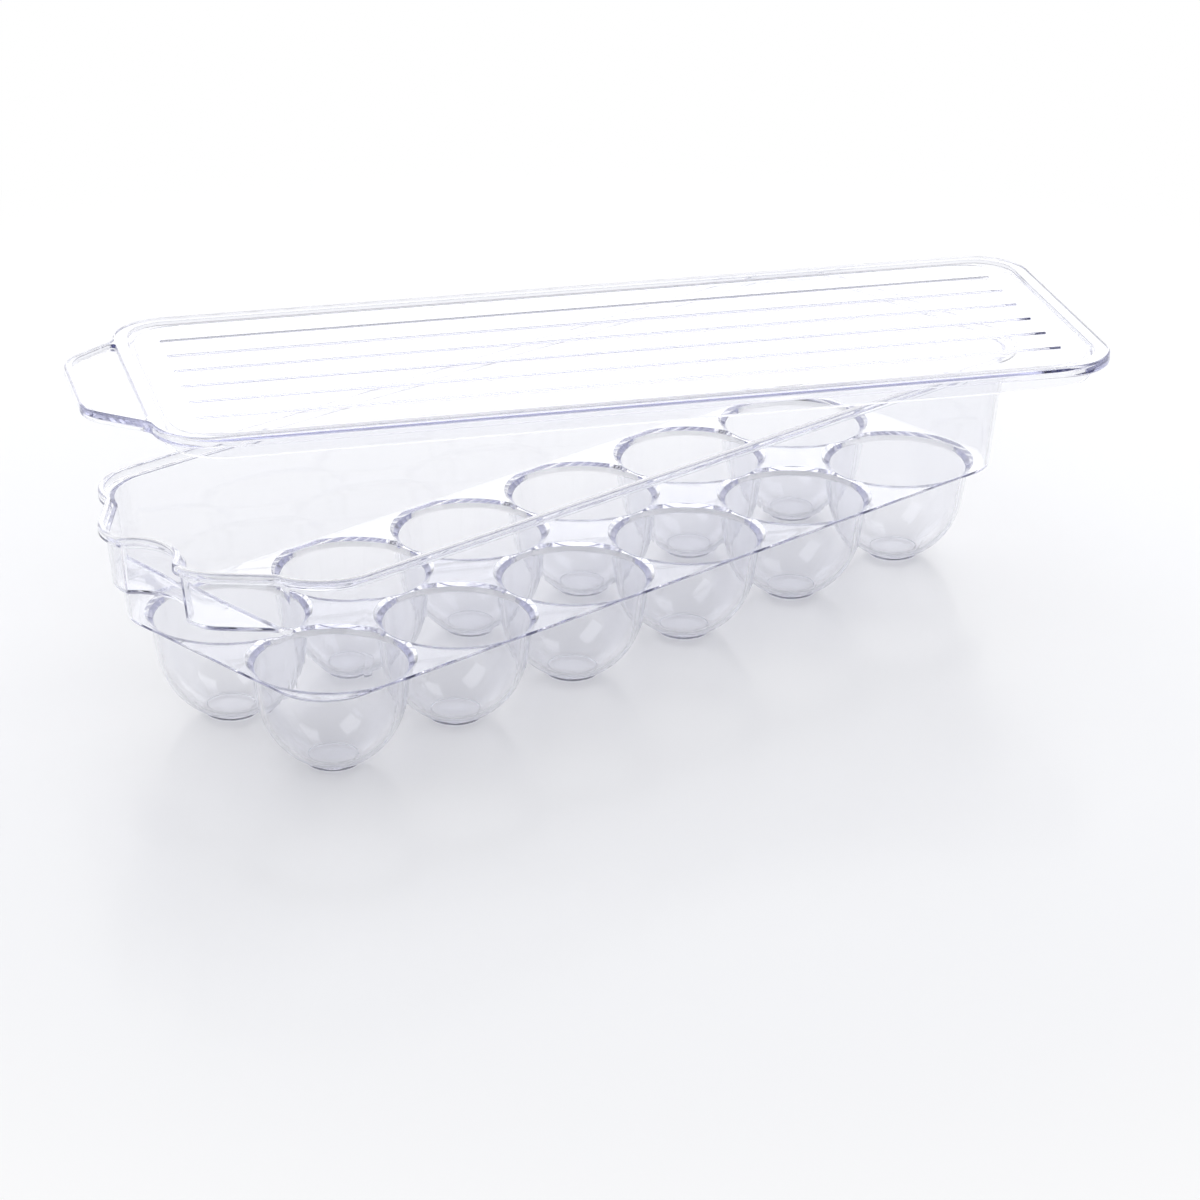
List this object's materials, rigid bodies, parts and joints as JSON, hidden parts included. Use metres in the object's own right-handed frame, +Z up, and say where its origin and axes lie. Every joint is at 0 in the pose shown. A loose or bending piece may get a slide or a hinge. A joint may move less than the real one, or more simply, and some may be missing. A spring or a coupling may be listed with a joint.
{
  "type": "egg basket",
  "caption": "Clear plastic fridge tray with two rows of egg cups, a scooped handle bay on one end, and a loose flat lid lying askew on its rim.",
  "frame": {"origin": "middle of the tray, on the plane that the feet of its cups stand on", "axes": "+Z up; X along the tray, with the handle bay at -X and the plain end at +X; Y across the tray"},
  "size_m": [0.3582, 0.2316, 0.0818],
  "materials": {
    "clear_plastic": "gloss"
  },
  "bodies": {
    "tray": {"handle_end": "clear_plastic", "plain_end": "clear_plastic", "front_wall": "clear_plastic", "back_wall": "clear_plastic", "cup_front_1": "clear_plastic", "cup_back_1": "clear_plastic", "cup_front_2": "clear_plastic", "cup_back_2": "clear_plastic", "cup_front_3": "clear_plastic", "cup_back_3": "clear_plastic", "cup_front_4": "clear_plastic", "cup_back_4": "clear_plastic", "cup_front_5": "clear_plastic", "cup_back_5": "clear_plastic", "cup_front_6": "clear_plastic", "cup_back_6": "clear_plastic"},
    "lid": {"lid": "clear_plastic"}
  },
  "joints": [
    {"name": "lid_lift", "type": "slide", "parent": "tray", "child": "lid", "axis": [0, 0, 1], "range_m": [0, 0.1]}
  ]
}
